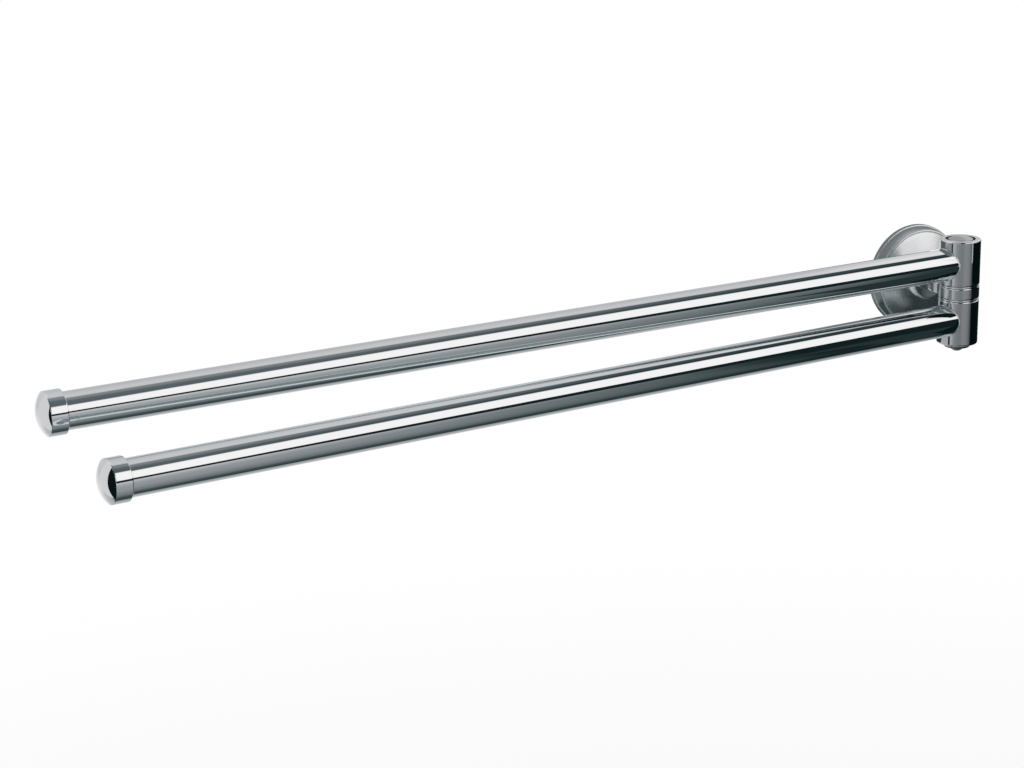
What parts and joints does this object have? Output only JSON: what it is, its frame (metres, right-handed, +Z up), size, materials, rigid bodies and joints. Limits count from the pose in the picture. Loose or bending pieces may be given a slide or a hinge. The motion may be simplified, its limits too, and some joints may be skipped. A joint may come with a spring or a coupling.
{
  "type": "swing arm towel bar",
  "caption": "Polished chrome towel bar whose two round tube arms, one above the other, swing on a shared vertical hinge held off the wall by a round rose.",
  "frame": {"origin": "centre of the wall plate's back face, on the wall", "axes": "+Z up, +Y into the wall, arms stored towards -X beside the wall"},
  "size_m": [0.4932, 0.1164, 0.0586],
  "materials": {
    "chrome": "polished chrome plate",
    "zinc_steel": "bright zinc plated steel",
    "black_steel": "black oxide steel",
    "bush_polymer": "natural acetal"
  },
  "bodies": {
    "root": {"wall_plate": "zinc_steel", "rose": "chrome", "rose_set_screw": "black_steel", "post_collar": "chrome", "hinge_eye": "chrome", "stud_washer": "zinc_steel", "stud_nut": "zinc_steel", "hinge_pin": "chrome", "pin_head_washer": "zinc_steel", "pin_nut": "chrome", "pin_spring_washer": "zinc_steel", "upper_bearing_washer": "chrome", "lower_bearing_washer": "chrome"},
    "upper_arm": {"upper_knuckle": "chrome", "upper_bushes": "bush_polymer", "upper_tube": "chrome", "upper_spigot": "zinc_steel", "upper_spigot_screw": "black_steel", "upper_end_cap": "chrome", "upper_cap_plug": "bush_polymer"},
    "lower_arm": {"lower_knuckle": "chrome", "lower_bushes": "bush_polymer", "lower_tube": "chrome", "lower_spigot": "zinc_steel", "lower_spigot_screw": "black_steel", "lower_end_cap": "chrome", "lower_cap_plug": "bush_polymer"}
  },
  "joints": [
    {"name": "upper_arm_swing", "type": "hinge", "parent": "root", "child": "upper_arm", "pos_m": [0, -0.04, 0.01425], "axis": [0, 0, 1], "range_deg": [-6, 178]},
    {"name": "lower_arm_swing", "type": "hinge", "parent": "root", "child": "lower_arm", "pos_m": [0, -0.04, -0.01425], "axis": [0, 0, 1], "range_deg": [-10.5, 173.5]}
  ]
}
